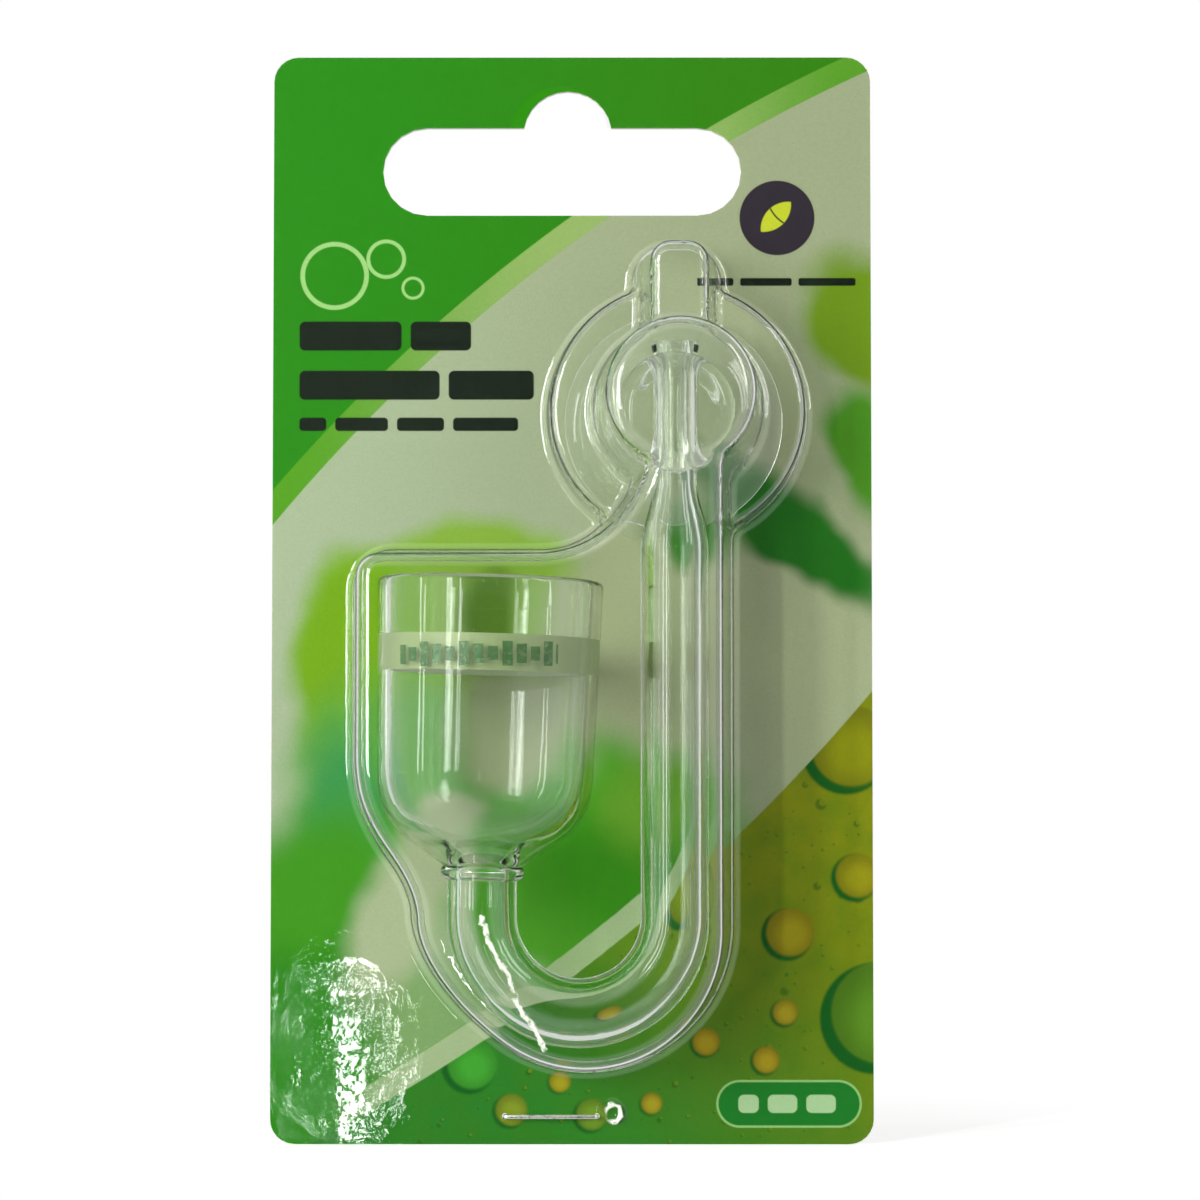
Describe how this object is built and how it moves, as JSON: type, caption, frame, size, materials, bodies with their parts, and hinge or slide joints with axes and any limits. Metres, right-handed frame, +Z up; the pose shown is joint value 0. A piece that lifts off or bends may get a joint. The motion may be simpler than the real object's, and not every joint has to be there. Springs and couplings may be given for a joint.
{
  "type": "carbon dioxide diffuser",
  "caption": "Bent glass tube with an upturned glass bell, a porous ceramic disc and a suction cup, packed in a clear blister on a printed hang card.",
  "frame": {"origin": "centre of the card's back face", "axes": "+X to the right and +Z up as seen from the front, +Y out of the card's back, so the blister and the diffuser are on the -Y side"},
  "size_m": [0.0534, 0.0233, 0.0966],
  "materials": {
    "printed_card": "printed and gloss varnished on the front, plain on the back",
    "clear_film": "clear thermoformed film",
    "staple_steel": "drawn wire",
    "clear_glass": "clear polished",
    "porous_ceramic": "matt, fine pores",
    "clear_silicone": "clear silicone",
    "clear_vinyl": "clear soft vinyl"
  },
  "bodies": {
    "card": {"backing_card": "printed_card"},
    "blister": {"blister_shell": "clear_film", "staple": "staple_steel"},
    "diffuser": {"glass_tube": "clear_glass", "glass_bell": "clear_glass", "ceramic_disc": "porous_ceramic", "disc_bead": "clear_silicone"},
    "cup": {"suction_cup": "clear_vinyl"}
  },
  "joints": [
    {"name": "blister_lift", "type": "slide", "parent": "card", "child": "blister", "axis": [0, -1, 0], "range_m": [0, 0.06]},
    {"name": "diffuser_lift", "type": "slide", "parent": "card", "child": "diffuser", "axis": [0, -1, 0], "range_m": [0, 0.03]},
    {"name": "cup_swivel", "type": "hinge", "parent": "diffuser", "child": "cup", "pos_m": [0.009, -0.0112, 0.0153], "axis": [0, 0, 1], "range_deg": [-5, 5]}
  ],
  "couplings": [
    {"joint": "diffuser_lift", "follows": "blister_lift", "ratio": 0.5}
  ]
}
